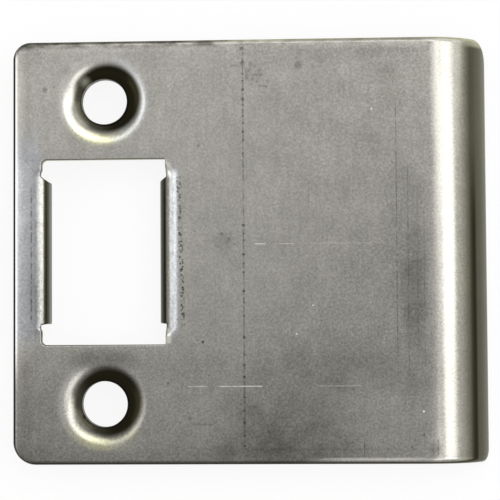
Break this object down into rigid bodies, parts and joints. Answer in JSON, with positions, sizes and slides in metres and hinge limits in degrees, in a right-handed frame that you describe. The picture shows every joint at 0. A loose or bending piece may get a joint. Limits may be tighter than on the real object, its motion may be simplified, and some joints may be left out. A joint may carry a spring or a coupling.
{
  "type": "door strike plate",
  "caption": "Flat full-lip door strike plate folded from one sheet, with two pressed countersunk screw holes, a flanged rectangular latch opening and a curled lip.",
  "frame": {"origin": "midway between the two screw holes, on the back face that seats on the jamb", "axes": "+X towards the curled lip, +Y along the line of the screw holes, +Z out of the exposed face"},
  "size_m": [0.064, 0.0572, 0.0062],
  "materials": {
    "steel": "bare mill-finish steel, tumbled, with handling marks and a scribed layout line"
  },
  "bodies": {
    "root": {"strike_plate": "steel"}
  },
  "joints": []
}
